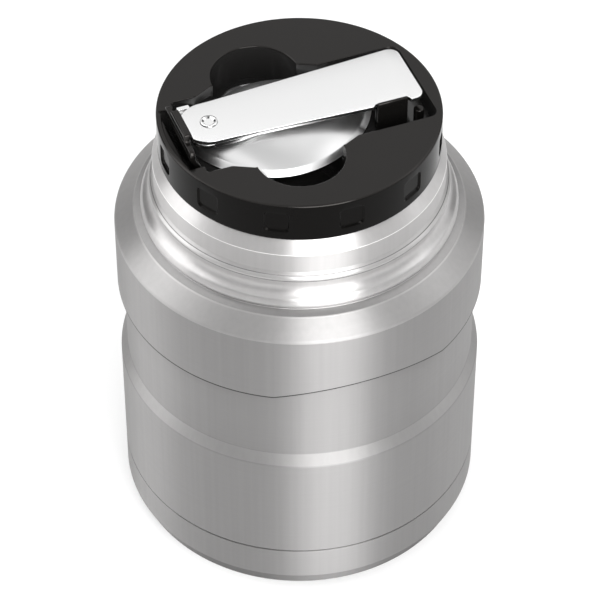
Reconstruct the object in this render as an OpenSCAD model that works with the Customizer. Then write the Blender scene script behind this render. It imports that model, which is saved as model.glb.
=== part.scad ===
// Insulated food jar: a double-walled steel jar, a screw-in stopper and the folding spoon kept in its top.
// The jar stands on z = 0 about the Z axis, its front faces -Y, and the spoon lies along X.

/* [Jar body] */
// Widest diameter of the jar
body_d = 94; // [86:0.5:102]
// Depth of the recessed waist band
waist_depth = 1.7; // [1:0.1:2.3]
// How far the bevel above the foot draws in
bevel_in = 2.1; // [1:0.1:4]
// Height of the bevel above the foot
bevel_h = 4.9; // [3:0.1:7]
// Height of the seam between the base cup and the body
seam_z = 14.6; // [12.5:0.1:18]
// Height of the lower wall, from the seam to the shelf
lower_h = 32.6; // [24:0.1:42]
// Height of the rounded shelf below the waist
shelf_h = 3.4; // [2.5:0.1:5]
// Height of the waist band that shows
waist_h = 21.8; // [16:0.1:30]
// Height of the shoulder ring
ring_h = 20.1; // [16:0.1:26]
// Thickness of the steel sheet
steel_t = 0.6; // [0.5:0.05:0.8]

/* [Front arch] */
// Width of the arch in the shoulder ring's lower edge
arch_w = 45.6; // [36:0.1:50]
// Rise of that arch
arch_h = 3.4; // [2:0.1:4]

/* [Neck] */
// Height of the chamfer on the shoulder
chamfer_h = 3.8; // [3:0.1:5]
// Diameter of the mouth
mouth_d = 65.6; // [58:0.1:68]
// Distance from the mouth to the plain neck band that a cup slides over
neck_wall = 4; // [3.6:0.1:4.8]
// Height of the neck band
neck_h = 5.4; // [5:0.1:8]
// How far the small step stands out from the neck band
step_out = 1.2; // [0.9:0.1:1.5]
// How far the rolled bead stands out from the neck band
bead_out = 3.6; // [3.4:0.1:4.2]
// How far the groove behind the ledge stands out from the neck band
groove_out = 2.6; // [2.2:0.1:3]
// How far the chamfer's top edge stands out from the neck band
ledge_out = 5.3; // [4.8:0.1:6.2]

/* [Liner] */
// Width of the vacuum space between the waist and the food vessel
wall_gap = 2.3; // [1.6:0.1:4]
// Height of the vacuum space under the food vessel
vacuum_gap = 1.9; // [1.8:0.1:3]
// Thickness of the reflecting foil
foil_t = 0.1; // [0.1:0.05:0.3]

/* [Stopper] */
// How far the stopper's cap stays inside the neck band
cap_in = 1.45; // [1.1:0.05:2]
// Height of the cap
cap_h = 11; // [10.4:0.1:13]
// Depth of the threaded plug below the cap
plug_depth = 20; // [19:0.1:24]
// Room for the thread between the plug's wall and the mouth
thread_gap = 1.6; // [1.3:0.1:1.9]
// Width of each grip pocket
pocket_w = 6.5; // [4:0.1:8]
// Height of each grip pocket
pocket_h = 6.2; // [4:0.1:7]
// Depth of each grip pocket
pocket_depth = 0.6; // [0.4:0.05:0.9]
// Number of grip pockets
pocket_count = 12; // [8:1:16]

/* [Spoon recess] */
// Depth of the recess below the cap's top
recess_depth = 5.1; // [4.8:0.1:5.6]
// Half of the recess's width beside the handle
recess_half = 14; // [12.5:0.1:14.5]
// Radius of each finger scoop
scoop_r = 11.1; // [9:0.1:11.3]
// Depth of each finger scoop below the cap's top
scoop_depth = 12.6; // [9:0.1:12.8]

/* [Spoon] */
// Distance from the bowl's tip to the recess's free end
bowl_end_gap = 12.3; // [11:0.1:16]
// Distance from the handle's free end to the recess's free end
handle_end_gap = 1.9; // [1:0.1:4]
// Width of the bowl
bowl_w = 35.4; // [30:0.1:37]
// Height of the bowl's dome
bowl_h = 5.9; // [5.8:0.1:6]
// Half of the handle's width at the rivet
handle_r = 7.2; // [6.6:0.1:7.3]
// Half of the handle's width at its free end
handle_end_half = 9.8; // [9.5:0.1:10]
// Thickness of the handle and of the tang
sheet_t = 1.15; // [1:0.05:1.15]

/* [Hidden] */

$fn = 96;
overrun = 1;
fit_gap = 0.02;
running_gap = 0.05;
soft_gap = 0.3;

steel = [0.74, 0.74, 0.73];
bright_steel = [0.86, 0.86, 0.86];
black_plastic = [0.16, 0.155, 0.15];

// Heights of the body, stacked from the foot
body_r = body_d / 2;
waist_r = body_r - waist_depth;
foot_r = body_r - bevel_in;
shelf_z = seam_z + lower_h;
waist_z = shelf_z + shelf_h;
skirt_z = waist_z + waist_h;
ring_top_z = skirt_z + ring_h;
ledge_z = ring_top_z + chamfer_h;

// Neck
mouth_r = mouth_d / 2;
neck_r = mouth_r + neck_wall;
step_r = neck_r + step_out;
bead_r = neck_r + bead_out;
groove_r = neck_r + groove_out;
ledge_r = neck_r + ledge_out;
groove_rise = 0.7;
bead_rise = 1.9;
bead_top_h = 2.4;
bead_in = 1.5;
cove_h = 3.3;
cove_in = 2.6;
step_h = 1.2;
step_edge = 0.5;
step_neck_h = 0.8;
bevel_top_h = 1.9;
bevel_top_in = 1.3;
lip_h = 1.6;
lip_in = 1.7;
groove_z = ledge_z + groove_rise;
bead_z = groove_z + bead_rise;
cove_z = bead_z + bead_top_h;
step_z = cove_z + cove_h;
neck_z = step_z + step_h + step_neck_h;
neck_top_z = neck_z + neck_h;
lip_z = neck_top_z + bevel_top_h + lip_h;

// Joints between the steel shells
seam_gap = 0.15;
spigot_r = body_r - steel_t - fit_gap;
spigot_l = 5;
flare_h = 1.2;
flare_rise = 0.6;
flare_z = skirt_z + arch_h + flare_rise;
weld_h = 5;

// Foot and vacuum bottom
foot_w = 9;
foot_recess = 1.2;
vacuum_bottom_rise = 0.3;
vacuum_bottom_z = seam_z - spigot_l + vacuum_bottom_rise;
dish_h = 2.2;
dish_share = 0.8;
dimple_r = 7;
dimple_depth = 1.4;
vent_r = 1.2;
bead_drop_r = 3.4;
bead_drop_h = 1.1;

// Liner
liner_t = steel_t;
cavity_r = waist_r - steel_t - wall_gap - liner_t;
floor_z = vacuum_bottom_z + vacuum_gap + liner_t;
mouth_outer_r = mouth_r + liner_t;
mouth_l = 19.5;
mouth_end_z = lip_z - mouth_l;
liner_shoulder_h = 9;
liner_round = 5;
liner_bottom_lap = 3;
liner_bottom_round = 2.2;
getter_r = 6;
getter_t = 1.1;
foil_end = 4;

// Stopper
cap_seat_gap = 0.3;
cap_r = neck_r - cap_in;
cap_z = lip_z + cap_seat_gap;
plate_z = cap_z + cap_h;
cap_edge = 0.5;
cap_foot_edge = 0.4;
pocket_rise = 2.4;
pocket_corner = 1.3;
pocket_z = cap_z + pocket_rise;
plug_r = mouth_r - thread_gap;
plug_wall = 1.7;
plug_z = cap_z - plug_depth;
plug_round = 1.6;
scoop_wall = 1.3;
seal_rise = 2;
seal_z = plug_z + seal_rise;
seal_h = 2.2;
seal_groove = 0.9;
seal_lip_h = 0.9;
foam_top_gap = 0.5;

// Outline of the spoon recess, half of it, from the latch to the free end
recess_left_in = 6.55;
recess_right_in = 4.05;
recess_left = recess_left_in - cap_r;
recess_right = cap_r - recess_right_in;
recess_corner = 2.2;
recess_heel_half = 13.5;
recess_heel_l = 6.3;
recess_flare_l = 5;
recess_flare_half = 16;
recess_waist_l = 4.7;
recess_corner_n = 5;
recess_heel_x = recess_left + recess_heel_l;
recess_flare_x = recess_heel_x + recess_flare_l;

// Bowl's place in the recess, and the finger scoops on both sides of its widest part
bowl_heel_share = 0.474;
bowl_gap = 0.3;
bowl_l = recess_right - bowl_end_gap - recess_left - bowl_gap;
bowl_front_x = recess_left + bowl_gap + bowl_l * bowl_heel_share;
scoop_off = 0.185;
scoop_plug_gap = 0.27;
scoop_fillet = 2.5;
scoop_x = bowl_front_x + scoop_off;
scoop_reach = plug_r - plug_wall - scoop_plug_gap - scoop_wall - scoop_r;
scoop_y = sqrt(scoop_reach * scoop_reach - scoop_x * scoop_x);
recess_waist_x = scoop_x + scoop_r + recess_waist_l;

// Latch and its pocket in the cap
latch_half = 10.9;
latch_side_gap = 0.4;
latch_pocket_half = latch_half + latch_side_gap;
latch_pocket_l = 3.5;
latch_pocket_left = recess_left - latch_pocket_l;
latch_pocket_t = 1.5;
latch_pocket_floor = cap_z + latch_pocket_t;
latch_wing_half = 9.6;
latch_wing_rise = 3.3;
latch_nose_half = 4.9;
latch_t = 1.3;
latch_in = 0.2;
latch_x = recess_left - latch_in;
latch_rise = 5.2;
latch_lean = 1.4;
latch_nose_in = 0.56;
latch_nose_x = latch_x - latch_nose_in;
latch_nose_t = 1.5;
latch_shoulder_h = 1.6;
latch_round = 0.5;
rim_t = 1.35;
rim_inner_r = cap_r - rim_t;
segment_depth = 1.5;

// Clip beside the handle's free end, and the post that the free end rests over
clip_lap = 2.1;
clip_l = 8;
clip_y = -9.6;
clip_post_t = 2;
clip_lip_t = 0.75;
clip_rise = 3.8;
clip_chamfer = 0.6;
post_end_gap = 3.3;
post_x = recess_right - post_end_gap;
post_y = -9.2;
post_r = 1.3;
post_rise = -0.9;

// Spoon
bowl_half = bowl_w / 2;
clip_x = bowl_front_x + bowl_l * (1 - bowl_heel_share) - clip_lap;
bowl_power = 1.45;
dome_power = 2.4;
bowl_rim_edge = 1.4;
bowl_wall = 1.2;
bowl_rim_share = 0.955;
bowl_side_count = 44;
bowl_ring_count = 7;
rim_z = plate_z - recess_depth + soft_gap;
tang_sink = 0.25;
tang_z = rim_z + bowl_h - tang_sink;
tang_top_z = tang_z + sheet_t;
handle_z = tang_top_z + running_gap;
handle_top_z = handle_z + sheet_t;
rivet_heel_l = 5.2;
rivet_x = recess_left + rivet_heel_l;
handle_l = recess_right - handle_end_gap - rivet_x;
tip_cut = 5.62;
handle_corner = 2.6;
handle_straight = 2.4;
handle_run = 3.4;
notch_gap = 0.3;
notch_slope = 0.7;
tang_l = 21.6;
tang_end_x = rivet_x + tang_l;
tang_end_half = 5.2;
tang_in = 0.25;
tang_r = handle_r - tang_in;
ear_out = 0.1;
ear_x = recess_left - ear_out;
ear_l = 3.2;
ear_half = 9.3;
rivet_shank_r = 1.5;
rivet_head_r = 2.15;
rivet_head_t = 0.35;
rivet_dimple_r = 1.2;
rivet_foot_t = 0.6;

// Direction from one point to another, of length one
function unit(v) = v / norm(v);

// Points of the arc that rounds the corner b between the straight runs a-b and b-c
function fillet(a, b, c, r, n) =
    let (
        u = unit(a - b),
        v = unit(c - b),
        half = acos(u * v) / 2,
        centre = b + unit(u + v) * r / sin(half),
        from = b + u * r / tan(half) - centre,
        to = b + v * r / tan(half) - centre,
        start = atan2(from[1], from[0]),
        sweep = sign(cross(from, to)) * (180 - 2 * half)
    )
    [for (i = [0 : n]) centre + r * [cos(start + sweep * i / n), sin(start + sweep * i / n)]];

// An open line whose corners are rounded: each corner is [x, y, rounding radius]
function rounded_line(corners, n = 5) =
    let (points = [for (c = corners) [c[0], c[1]]])
    [for (i = [0 : len(corners) - 1])
        each (corners[i][2] == 0
            ? [points[i]]
            : fillet(points[i - 1], points[i], points[i + 1], corners[i][2], n))];

// Normal of the run from a to b, on its right-hand side
function side_normal(a, b) = let (d = unit(b - a)) [d[1], -d[0]];

// The same line moved sideways by t, to its left, with mitred corners
function moved_line(line, t) =
    let (last = len(line) - 1)
    [for (i = [0 : last])
        let (
            before = side_normal(line[max(i - 1, 0)], line[max(i, 1)]),
            after = side_normal(line[min(i, last - 1)], line[min(i + 1, last)])
        )
        line[i] - t * (before + after) / (1 + before * after)];

function reversed(line) = [for (i = [len(line) - 1 : -1 : 0]) line[i]];

// A closed outline from its half on the side of +Y
function both_halves(half) = concat(half, reversed([for (p = half) if (p[1] > 0) [p[0], -p[1]]]));

// A sheet of thickness t turned about Z, its outside on the line
module turned_sheet(line, t) {
    rotate_extrude()
        polygon(concat(line, reversed(moved_line(line, t))));
}

// The body's steel wall: a spigot for the base cup, the lower wall, the shelf and the waist
module body_shell() {
    color(steel)
        turned_sheet(rounded_line([
            [spigot_r, seam_z - spigot_l, 0],
            [spigot_r, seam_z + seam_gap, 0],
            [body_r, seam_z + seam_gap, 0],
            [body_r, shelf_z, 2.6 * steel_t],
            [waist_r, waist_z, steel_t],
            [waist_r, flare_z, 2 * steel_t],
            [spigot_r, flare_z + flare_h, 2 * steel_t],
            [spigot_r, flare_z + flare_h + weld_h, 0]
        ]), steel_t);
}

// The shoulder ring, its chamfer and the neck up to the lip, with the arch cut in its front edge
module shoulder_shell() {
    arch_r = (arch_w * arch_w / 4 + arch_h * arch_h) / (2 * arch_h);
    color(steel)
        difference() {
            turned_sheet(rounded_line([
                [body_r, skirt_z, 0],
                [body_r, ring_top_z, 2 * steel_t],
                [ledge_r, ledge_z, 1.4 * steel_t],
                [groove_r, groove_z, steel_t / 2],
                [bead_r, groove_z + bead_rise / 2, 1.6 * steel_t],
                [bead_r - bead_in / 2, bead_z + bead_rise / 2, 2.6 * steel_t],
                [step_r - cove_in / 4, cove_z, 5 * steel_t],
                [step_r, step_z, 0],
                [step_r, step_z + step_edge, 0],
                [step_r - step_edge, step_z + step_h, 0],
                [neck_r, neck_z, 0],
                [neck_r, neck_top_z, 0],
                [neck_r - bevel_top_in, neck_top_z + bevel_top_h, 2 * steel_t],
                [neck_r - lip_in - bevel_top_in / 2, lip_z, 1.6 * steel_t],
                [mouth_outer_r + fit_gap, lip_z, 0]
            ]), steel_t);
            translate([0, 0, skirt_z + arch_h - arch_r])
                rotate([90, 0, 0])
                    cylinder(r = arch_r, h = body_r + overrun, $fn = 180);
        }
}

// The cup that closes the jar's foot and hides the vacuum bottom
module base_cup() {
    color(steel)
        turned_sheet(rounded_line([
            [0, foot_recess, 0],
            [foot_r - foot_w, foot_recess, steel_t],
            [foot_r - foot_w + foot_recess, 0, 1.4 * steel_t],
            [foot_r, 0, 1.8 * steel_t],
            [body_r, bevel_h, 4 * steel_t],
            [body_r, seam_z, 0]
        ]), steel_t);
}

// The dished disc that closes the vacuum space, with the vent through which the air was drawn
module vacuum_bottom() {
    rim_r = spigot_r - steel_t - fit_gap;
    color(steel)
        difference() {
            turned_sheet(rounded_line([
                [0, vacuum_bottom_z - dish_h + dimple_depth, 0],
                [dimple_r, vacuum_bottom_z - dish_h + dimple_depth, steel_t],
                [dimple_r + dimple_depth, vacuum_bottom_z - dish_h, 2 * steel_t],
                [rim_r * dish_share, vacuum_bottom_z - dish_h, 4 * steel_t],
                [rim_r * dish_share + dish_h, vacuum_bottom_z, 2 * steel_t],
                [rim_r, vacuum_bottom_z, 0]
            ]), steel_t);
            translate([0, 0, vacuum_bottom_z - dish_h])
                cylinder(r = vent_r, h = dish_h + dimple_depth + overrun);
        }
}

// The drop of solder that seals the vent
module seal_bead() {
    vent_z = vacuum_bottom_z - dish_h + dimple_depth;
    color([0.55, 0.56, 0.58]) {
        translate([0, 0, vent_z - bead_drop_h])
            rotate_extrude()
                polygon(rounded_line([
                    [0, 0, 0],
                    [bead_drop_r * dish_share, 0, bead_drop_h / 2],
                    [bead_drop_r, bead_drop_h, 0],
                    [0, bead_drop_h, 0]
                ]));
        translate([0, 0, vent_z])
            cylinder(r = vent_r - fit_gap, h = steel_t);
    }
}

// The food vessel's wall, drawn in to the mouth
module inner_liner() {
    color(bright_steel)
        turned_sheet(rounded_line([
            [cavity_r + liner_t, floor_z - liner_t, 0],
            [cavity_r + liner_t, mouth_end_z - liner_shoulder_h, liner_round],
            [mouth_outer_r, mouth_end_z, liner_round],
            [mouth_outer_r, lip_z, 0]
        ], 8), liner_t);
}

// The pressed bottom that is welded into the food vessel
module liner_bottom() {
    color(bright_steel)
        turned_sheet(rounded_line([
            [0, floor_z - liner_t, 0],
            [cavity_r - fit_gap, floor_z - liner_t, liner_bottom_round],
            [cavity_r - fit_gap, floor_z - liner_t + liner_bottom_lap, 0]
        ]), liner_t);
}

// The foil round the food vessel that reflects its heat
module radiation_foil() {
    outer_r = cavity_r + liner_t;
    foil_top_z = mouth_end_z - liner_shoulder_h - liner_round;
    color([0.8, 0.5, 0.35])
        translate([0, 0, floor_z + foil_end])
            difference() {
                cylinder(r = outer_r + foil_t, h = foil_top_z - floor_z - foil_end);
                translate([0, 0, -overrun])
                    cylinder(r = outer_r, h = ring_top_z);
            }
}

// The pellet under the food vessel that binds stray gas
module getter() {
    color([0.35, 0.36, 0.38])
        translate([0, 0, floor_z - liner_t - getter_t])
            cylinder(r = getter_r, h = getter_t);
}

// Outline of the spoon recess
module recess_outline() {
    half = rounded_line([
        [recess_left, 0, 0],
        [recess_left, recess_heel_half, recess_corner / 4],
        [recess_heel_x, recess_heel_half, recess_corner],
        [recess_flare_x, recess_flare_half, 0],
        [scoop_x + scoop_r + recess_corner / 4, recess_flare_half, 0],
        [recess_waist_x, recess_half, 0],
        [recess_right, recess_half, recess_corner],
        [recess_right, 0, 0]
    ], recess_corner_n);
    polygon(both_halves(half));
}

// A finger scoop: a round well with a coved floor, grown by extra for its wall
module scoop_well(extra, top_z) {
    floor_height = plate_z - scoop_depth - extra;
    rotate_extrude()
        polygon(rounded_line([
            [0, floor_height, 0],
            [scoop_r + extra, floor_height, scoop_fillet + extra],
            [scoop_r + extra, top_z, 0],
            [0, top_z, 0]
        ], 6));
}

// A grip pocket in the cap's side, at the front: a shallow dent with round corners
module grip_pocket() {
    half = rounded_line([
        [0, 0, 0],
        [0, pocket_w / 2, pocket_corner],
        [pocket_h, pocket_w / 2, pocket_corner],
        [pocket_h, 0, 0]
    ], 4);
    translate([0, -cap_r + pocket_depth, pocket_z])
        rotate([90, -90, 0])
            linear_extrude(pocket_depth + overrun)
                polygon(both_halves(half));
}

// The clip moulded on the recess floor, which stands along the handle's near edge
module handle_clip() {
    base_z = plate_z - recess_depth;
    top_z = plate_z + clip_rise;
    translate([clip_x, clip_y, 0])
        rotate([90, 0, 90])
            linear_extrude(clip_l)
                polygon([
                    [0, base_z],
                    [clip_post_t, base_z],
                    [clip_post_t, handle_z - notch_slope],
                    [clip_lip_t, handle_z - notch_slope + clip_post_t - clip_lip_t - clip_chamfer],
                    [clip_lip_t, top_z - clip_chamfer / 2],
                    [clip_lip_t - clip_chamfer / 2, top_z],
                    [clip_chamfer / 2, top_z],
                    [0, top_z - clip_chamfer]
                ]);
}

// The cap: its plate, the spoon recess with two finger scoops, the latch's pocket and the grip pockets
module stopper_cap() {
    color(black_plastic) {
        difference() {
            union() {
                rotate_extrude()
                    polygon([
                        [0, cap_z],
                        [cap_r - cap_foot_edge, cap_z],
                        [cap_r, cap_z + cap_foot_edge],
                        [cap_r, plate_z - cap_edge],
                        [cap_r - cap_edge, plate_z],
                        [0, plate_z]
                    ]);
                for (side = [-1, 1])
                    translate([scoop_x, side * scoop_y, 0])
                        scoop_well(scoop_wall, cap_z + overrun);
            }
            translate([0, 0, plate_z - recess_depth])
                linear_extrude(recess_depth + overrun)
                    recess_outline();
            for (side = [-1, 1])
                translate([scoop_x, side * scoop_y, 0])
                    scoop_well(0, plate_z + overrun);
            translate([latch_pocket_left, -latch_pocket_half, latch_pocket_floor])
                cube([recess_left - latch_pocket_left + overrun, 2 * latch_pocket_half, cap_h]);
            intersection() {
                translate([0, 0, plate_z - segment_depth])
                    cylinder(r = rim_inner_r, h = segment_depth + overrun);
                translate([-cap_r, -cap_r, plate_z - cap_h])
                    cube([cap_r + latch_pocket_left + fit_gap, 2 * cap_r, 2 * cap_h]);
            }
            for (i = [0 : pocket_count - 1])
                rotate(i * 360 / pocket_count)
                    grip_pocket();
        }
        handle_clip();
        translate([post_x, post_y, plate_z - recess_depth])
            cylinder(r = post_r, h = recess_depth + post_rise);
    }
}

// The plug below the cap: a cup with the groove for its seal
module stopper_plug() {
    color([0.22, 0.22, 0.22])
        difference() {
            turned_sheet(rounded_line([
                [0, plug_z, 0],
                [plug_r, plug_z, plug_round + plug_wall / 2],
                [plug_r, cap_z, 0]
            ]), plug_wall);
            translate([0, 0, seal_z])
                difference() {
                    cylinder(r = plug_r + overrun, h = seal_h);
                    cylinder(r = plug_r - seal_groove, h = seal_h);
                }
        }
}

// The foam block that fills the plug
module plug_foam() {
    foam_r = plug_r - plug_wall - soft_gap;
    foam_z = plug_z + plug_wall + soft_gap;
    foam_top = plate_z - scoop_depth - scoop_wall - foam_top_gap;
    color([0.93, 0.92, 0.87])
        rotate_extrude()
            polygon(rounded_line([
                [0, foam_z, 0],
                [foam_r, foam_z, plug_round],
                [foam_r, foam_top, 0],
                [0, foam_top, 0]
            ]));
}

// The soft ring round the plug, with a lip that leans out to the liner
module stopper_seal() {
    inner_r = plug_r - seal_groove + running_gap;
    lip_r = mouth_r - soft_gap;
    color([0.75, 0.76, 0.76])
        rotate_extrude()
            polygon([
                [inner_r, seal_z + running_gap],
                [plug_r, seal_z + running_gap],
                [lip_r, seal_z + seal_h - seal_lip_h],
                [lip_r, seal_z + seal_h],
                [plug_r, seal_z + seal_h - seal_lip_h],
                [plug_r, seal_z + seal_h - running_gap],
                [inner_r, seal_z + seal_h - running_gap]
            ]);
}

// The sprung latch that bears on the spoon's hinged end: a foot with a round edge, a leaning flap and a nose
module spoon_latch() {
    foot_z = latch_pocket_floor + soft_gap + latch_t / 2;
    outer_x = latch_x - latch_t;
    upper_x = outer_x - latch_lean;
    shoulder_z = plate_z - latch_shoulder_h;
    wing_z = plate_z + latch_wing_rise;
    top_z = plate_z + latch_rise;
    profile = rounded_line([
        [outer_x, foot_z, 0],
        [latch_x, foot_z, 0],
        [latch_x, shoulder_z, latch_round],
        [upper_x + latch_t, plate_z + latch_lean / 2, latch_round],
        [upper_x + latch_t, top_z - latch_nose_t, 0],
        [latch_nose_x, top_z - latch_nose_t / 2, latch_round / 2],
        [latch_nose_x - latch_round, top_z, latch_round / 2],
        [upper_x, top_z, latch_round],
        [upper_x, plate_z + latch_lean / 2, latch_round],
        [outer_x, shoulder_z, 0]
    ], 4);
    front = rounded_line([
        [-latch_half, foot_z, 0],
        [-latch_half, shoulder_z - latch_t, latch_round],
        [-latch_wing_half, shoulder_z, latch_round],
        [-latch_wing_half, wing_z, latch_t],
        [-latch_nose_half - latch_round, wing_z, latch_round],
        [-latch_nose_half, top_z, latch_round],
        [latch_nose_half, top_z, latch_round],
        [latch_nose_half + latch_round, wing_z, latch_round],
        [latch_wing_half, wing_z, latch_t],
        [latch_wing_half, shoulder_z, latch_round],
        [latch_half, shoulder_z - latch_t, latch_round],
        [latch_half, foot_z, 0]
    ], 4);
    color(black_plastic) {
        translate([latch_x - latch_t / 2, latch_half, foot_z])
            rotate([90, 0, 0])
                cylinder(r = latch_t / 2, h = 2 * latch_half);
        intersection() {
            rotate([90, 0, 0])
                translate([0, 0, -latch_half])
                    linear_extrude(2 * latch_half)
                        polygon(profile);
            rotate([90, 0, 90])
                translate([0, 0, upper_x - overrun])
                    linear_extrude(latch_nose_x - upper_x + latch_t + 2 * overrun)
                        polygon(front);
        }
    }
}

// Radius shares of the bowl's outline: the heel is the shorter end
function bowl_point(angle, share) =
    let (
        reach = cos(angle) < 0 ? bowl_l * bowl_heel_share : bowl_l * (1 - bowl_heel_share),
        across = sign(sin(angle)) * pow(abs(sin(angle)), bowl_power)
    )
    [bowl_front_x + share * reach * cos(angle), share * bowl_half * across];

// One ring of the bowl at a share of its outline and a height
function bowl_ring(share, z) =
    [for (i = [0 : bowl_side_count - 1])
        let (p = bowl_point(i * 360 / bowl_side_count, share))
        [p[0], p[1], z]];

// The bowl lies on its rim: an outer dome, the rim's edge and an inner dome
module bowl_shell() {
    outer_h = bowl_h - bowl_rim_edge;
    inner_h = bowl_h - bowl_wall;
    outer = [for (k = [1 : bowl_ring_count])
        let (share = k / bowl_ring_count)
        bowl_ring(share, rim_z + bowl_rim_edge + outer_h * (1 - pow(share, dome_power)))];
    inner = [for (k = [bowl_ring_count : -1 : 1])
        let (share = k / bowl_ring_count)
        bowl_ring(bowl_rim_share * share, rim_z + inner_h * (1 - pow(share, dome_power)))];
    rings = concat(outer, [bowl_ring(1, rim_z)], inner);
    top = [bowl_front_x, 0, rim_z + bowl_h];
    under = [bowl_front_x, 0, rim_z + inner_h];
    points = concat([top], [for (ring = rings) each ring], [under]);
    last_ring = len(rings) - 1;
    under_index = len(points) - 1;
    sides = bowl_side_count;
    caps = [for (i = [0 : sides - 1]) [0, 1 + (i + 1) % sides, 1 + i]];
    walls = [for (k = [0 : last_ring - 1], i = [0 : sides - 1])
        let (
            a = 1 + k * sides + i,
            b = 1 + k * sides + (i + 1) % sides
        )
        each [[a, b, b + sides], [a, b + sides, a + sides]]];
    base = 1 + last_ring * sides;
    closing = [for (i = [0 : sides - 1]) [under_index, base + i, base + (i + 1) % sides]];
    polyhedron(points, concat(caps, walls, closing), convexity = 6);
}

// The bowl, and the tang that carries the handle's rivet
module spoon_bowl() {
    tang_side = rounded_line([
        [rivet_x - tip_cut, 0, 0],
        [rivet_x - tip_cut, tang_r, tang_r - tip_cut / 2],
        [rivet_x + tip_cut, tang_r, tip_cut / 2],
        [tang_end_x, tang_end_half, handle_corner],
        [tang_end_x + tang_end_half / 2, 0, 0]
    ], 8);
    color(bright_steel)
        difference() {
            union() {
                bowl_shell();
                translate([0, 0, tang_z])
                    linear_extrude(sheet_t)
                        polygon(both_halves(tang_side));
                translate([ear_x, 0, tang_z])
                    cube([ear_l, ear_half, sheet_t]);
            }
            translate([rivet_x, 0, rim_z])
                cylinder(r = rivet_shank_r + running_gap, h = bowl_h + overrun);
        }
}

// Half outline of the handle: a round hinged end with a flat tip, straight tapering sides
function handle_half() =
    let (
        tip_angle = acos(tip_cut / handle_r),
        end_x = rivet_x + handle_l
    )
    concat(
        [for (i = [0 : 10])
            let (a = 180 - tip_angle - i * (90 - tip_angle) / 10)
            [rivet_x + handle_r * cos(a), handle_r * sin(a)]],
        rounded_line([
            [rivet_x + handle_straight, handle_r, 0],
            [end_x - handle_run, handle_end_half, handle_straight],
            [end_x, handle_end_half, handle_corner],
            [end_x, 0, 0]
        ])
    );

// The handle, folded over the bowl
module spoon_handle() {
    half = handle_half();
    notch_y = clip_y + clip_lip_t + notch_gap;
    color(bright_steel)
        translate([0, 0, handle_z])
            linear_extrude(sheet_t)
                difference() {
                    polygon(both_halves(half));
                    translate([rivet_x, 0])
                        circle(r = rivet_shank_r + running_gap);
                    polygon([
                        [clip_x - notch_gap, notch_y],
                        [clip_x + clip_l + notch_gap, notch_y],
                        [clip_x + clip_l + notch_gap + notch_slope, -handle_end_half - overrun],
                        [clip_x - notch_gap - notch_slope, -handle_end_half - overrun]
                    ]);
                }
}

// The rivet that the handle turns on: a dimpled head, a shank and a spread foot under the tang
module spoon_rivet() {
    head_z = handle_top_z + running_gap;
    color(bright_steel)
        translate([rivet_x, 0, 0])
            rotate_extrude()
                polygon([
                    [0, tang_z - rivet_foot_t],
                    [rivet_head_r, tang_z - rivet_foot_t],
                    [rivet_head_r, tang_z],
                    [rivet_shank_r, tang_z],
                    [rivet_shank_r, head_z],
                    [rivet_head_r, head_z],
                    [rivet_head_r - rivet_head_t / 2, head_z + rivet_head_t],
                    [rivet_dimple_r, head_z + rivet_head_t],
                    [0, head_z]
                ]);
}

body_shell();
shoulder_shell();
base_cup();
vacuum_bottom();
seal_bead();
inner_liner();
liner_bottom();
radiation_foil();
getter();
stopper_cap();
stopper_plug();
plug_foam();
stopper_seal();
spoon_latch();
spoon_bowl();
spoon_handle();
spoon_rivet();
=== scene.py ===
"""Insulated food jar with its screw-in stopper and folding spoon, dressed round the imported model.

The jar stands on z = 0 about the Z axis, its front faces -Y and the spoon lies along X.
Lengths in the profiles are millimetres and become metres when a mesh is made.
The steel shells come first, then the vessel, the threads, the plug, the cap, the spoon and the latch, and last
the studio.
"""
import math

import bmesh
import bpy
import numpy as np
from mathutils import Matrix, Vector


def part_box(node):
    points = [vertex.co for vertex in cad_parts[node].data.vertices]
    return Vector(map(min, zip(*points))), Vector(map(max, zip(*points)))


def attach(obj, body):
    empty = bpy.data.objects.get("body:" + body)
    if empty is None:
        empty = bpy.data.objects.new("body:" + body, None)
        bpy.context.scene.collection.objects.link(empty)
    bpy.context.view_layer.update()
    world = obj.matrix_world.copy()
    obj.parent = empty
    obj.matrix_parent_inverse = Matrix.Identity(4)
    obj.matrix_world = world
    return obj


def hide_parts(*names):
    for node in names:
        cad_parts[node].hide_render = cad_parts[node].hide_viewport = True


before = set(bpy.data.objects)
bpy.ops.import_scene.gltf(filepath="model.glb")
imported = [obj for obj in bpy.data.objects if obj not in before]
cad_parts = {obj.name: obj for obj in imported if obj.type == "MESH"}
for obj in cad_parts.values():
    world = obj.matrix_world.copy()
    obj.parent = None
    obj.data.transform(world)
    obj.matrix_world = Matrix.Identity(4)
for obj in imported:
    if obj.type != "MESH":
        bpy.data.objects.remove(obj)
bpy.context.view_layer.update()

MM = 0.001
TURN = 2 * math.pi
merge_distance = 1e-6


def node_box(node):
    """Lowest and highest corner of a CAD node, in millimetres."""
    low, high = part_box(node)
    return np.array(low) / MM, np.array(high) / MM


# Camera: where the photograph was taken from
camera_azimuth = math.radians(21)
camera_elevation = math.radians(44.85)
camera_distance = 0.7842
camera_target_z = 0.0605
camera_lens = 180
camera_sensor = 36
camera_shift = 0.00098


def make_camera():
    """Camera on a sphere about a point of the jar's axis, level and looking down at it."""
    data = bpy.data.cameras.new("photo_camera")
    data.lens = camera_lens
    data.sensor_width = camera_sensor
    data.shift_x = camera_shift
    data.clip_start = 0.05
    data.clip_end = 20
    camera = bpy.data.objects.new("photo_camera", data)
    reach = camera_distance * math.cos(camera_elevation)
    camera.location = (
        -reach * math.sin(camera_azimuth),
        -reach * math.cos(camera_azimuth),
        camera_target_z + camera_distance * math.sin(camera_elevation),
    )
    camera.rotation_euler = (math.pi / 2 - camera_elevation, 0, -camera_azimuth)
    bpy.context.scene.collection.objects.link(camera)
    bpy.context.scene.camera = camera


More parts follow.
